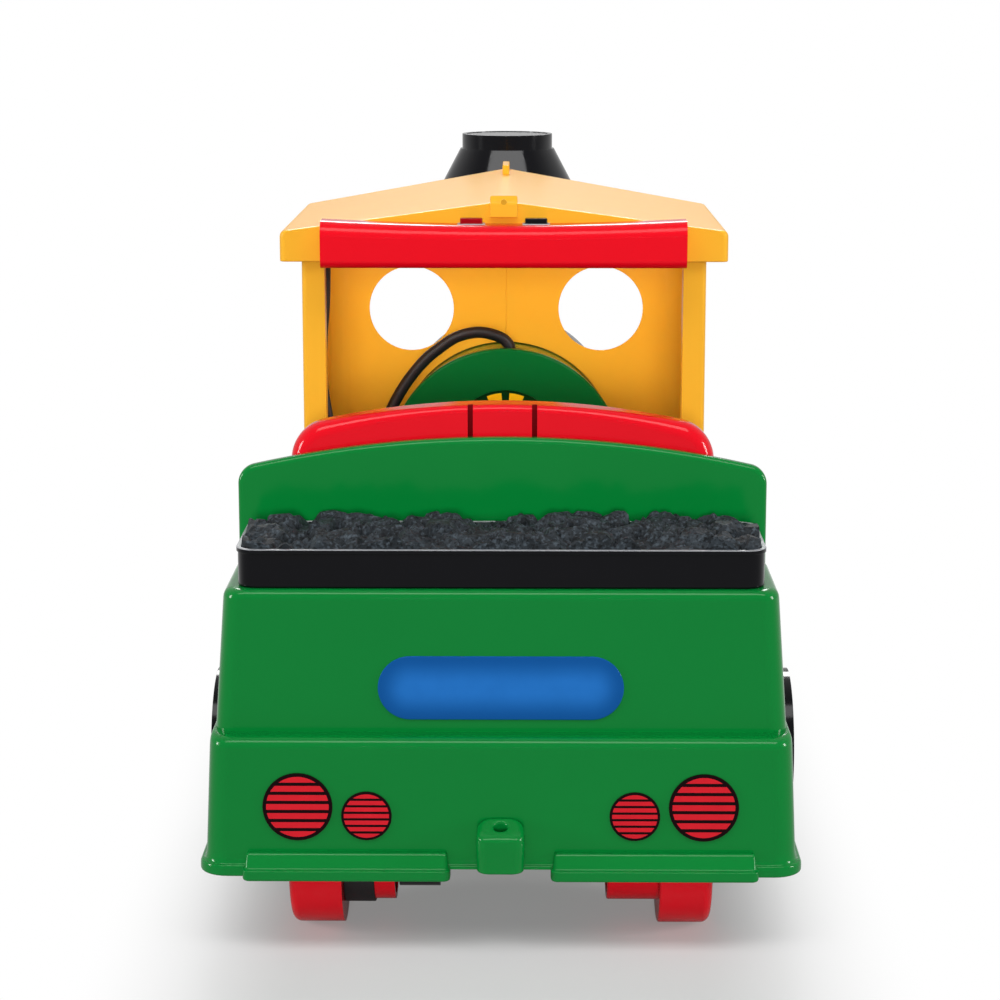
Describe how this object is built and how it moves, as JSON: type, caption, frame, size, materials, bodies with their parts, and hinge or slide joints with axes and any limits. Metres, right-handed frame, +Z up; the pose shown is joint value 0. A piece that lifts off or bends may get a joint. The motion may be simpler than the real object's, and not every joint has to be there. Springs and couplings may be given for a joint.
{
  "type": "ride-on train",
  "caption": "Child's battery ride-on steam train with tender and coal bin, seat, open-backed cab with push buttons, boiler with chimney, moulded running gear and a geared rear wheel.",
  "frame": {"origin": "on the floor under the middle of the train, at the centre of the bounding box's bottom face", "axes": "+Y points the way the train runs, from the tender to the chimney, +X to the rider's right, +Z up"},
  "size_m": [0.5452, 1, 0.657],
  "materials": {
    "green_plastic": "glossy moulded green",
    "dark_green_plastic": "glossy dark green",
    "black_plastic": "glossy black",
    "red_plastic": "glossy red",
    "yellow_plastic": "glossy warm yellow",
    "white_plastic": "natural white nylon",
    "grey_plastic": "silver grey",
    "coal_plastic": "dark grey lumps",
    "battery_case": "dark grey",
    "circuit_board": "green laminate",
    "gauge_print": "printed yellow",
    "lens": "clear",
    "steel": "bright steel",
    "rubber": "black",
    "reflector": "printed red",
    "badge": "plain blue"
  },
  "bodies": {
    "train": {"base_body": "green_plastic", "tender_body": "green_plastic", "seat_panel": "green_plastic", "seat_box": "green_plastic", "battery": "battery_case", "cab_left": "yellow_plastic", "cab_right": "yellow_plastic", "roof": "yellow_plastic", "lug_screw": "steel", "handle_bar": "red_plastic", "button_bezels": "steel", "button_board": "circuit_board", "backhead": "dark_green_plastic", "gauge_face": "gauge_print", "boiler_barrel": "green_plastic", "boiler_bands": "yellow_plastic", "smokebox": "black_plastic", "smokebox_door": "black_plastic", "headlamp_ring": "yellow_plastic", "headlamp_lens": "lens", "chimney": "black_plastic", "chimney_cap": "black_plastic", "steam_dome": "yellow_plastic", "boiler_saddle": "black_plastic", "lead_grommet": "rubber", "lead_socket": "black_plastic", "roof_lead": "rubber", "rear_axle": "steel", "front_axle": "steel", "rear_axle_brackets": "black_plastic", "front_axle_brackets": "black_plastic", "axle_spacers": "white_plastic", "axle_caps": "black_plastic", "gearbox_case": "black_plastic", "gearbox_cover": "black_plastic", "gearbox_screws": "steel", "drive_motor": "steel", "idler_pin": "steel", "side_wheels_left": "black_plastic", "side_wheels_right": "black_plastic", "side_rod_left": "grey_plastic", "side_rod_right": "grey_plastic", "buffer_beam": "red_plastic", "cowcatcher": "red_plastic", "tow_hook": "green_plastic", "tail_reflectors": "reflector", "badge_plate": "badge"},
    "drive_wheel": {"rear_wheel_left": "red_plastic", "traction_ring": "rubber", "final_gear": "white_plastic"},
    "rear_right_wheel": {"rear_wheel_right": "red_plastic"},
    "front_left_wheel": {"front_wheel_left": "red_plastic"},
    "front_right_wheel": {"front_wheel_right": "red_plastic"},
    "idler": {"idler_gear": "white_plastic"},
    "pinion": {"motor_pinion": "steel"},
    "drive_button_key": {"drive_button": "red_plastic"},
    "horn_button_key": {"horn_button": "black_plastic"},
    "coal_bin": {"coal_tray": "black_plastic", "coal_load": "coal_plastic"},
    "seat_shell": {"seat": "red_plastic"}
  },
  "joints": [
    {"name": "drive_wheel_spin", "type": "hinge", "parent": "train", "child": "drive_wheel", "pos_m": [-0.14, -0.39, 0.075], "axis": [1, 0, 0], "continuous": true},
    {"name": "rear_right_wheel_spin", "type": "hinge", "parent": "train", "child": "rear_right_wheel", "pos_m": [0.14, -0.39, 0.075], "axis": [1, 0, 0], "continuous": true},
    {"name": "front_left_wheel_spin", "type": "hinge", "parent": "train", "child": "front_left_wheel", "pos_m": [-0.14, 0.29, 0.075], "axis": [1, 0, 0], "continuous": true},
    {"name": "front_right_wheel_spin", "type": "hinge", "parent": "train", "child": "front_right_wheel", "pos_m": [0.14, 0.29, 0.075], "axis": [1, 0, 0], "continuous": true},
    {"name": "idler_spin", "type": "hinge", "parent": "train", "child": "idler", "pos_m": [-0.072, -0.35323, 0.10585], "axis": [1, 0, 0], "continuous": true},
    {"name": "motor_pinion_spin", "type": "hinge", "parent": "train", "child": "pinion", "pos_m": [-0.065, -0.33955, 0.14344], "axis": [1, 0, 0], "continuous": true},
    {"name": "drive_button_press", "type": "slide", "parent": "train", "child": "drive_button_key", "axis": [0, 0, -1], "range_m": [0, 0.003], "stiffness_N_per_m": 400},
    {"name": "horn_button_press", "type": "slide", "parent": "train", "child": "horn_button_key", "axis": [0, 0, -1], "range_m": [0, 0.003], "stiffness_N_per_m": 400},
    {"name": "coal_bin_lift", "type": "slide", "parent": "train", "child": "coal_bin", "axis": [0, 0, 1], "range_m": [0, 0.12]},
    {"name": "seat_lift", "type": "slide", "parent": "train", "child": "seat_shell", "axis": [0, 0, 1], "range_m": [0, 0.2]}
  ],
  "couplings": [
    {"joint": "idler_spin", "follows": "drive_wheel_spin", "ratio": -3},
    {"joint": "motor_pinion_spin", "follows": "drive_wheel_spin", "ratio": 9}
  ]
}
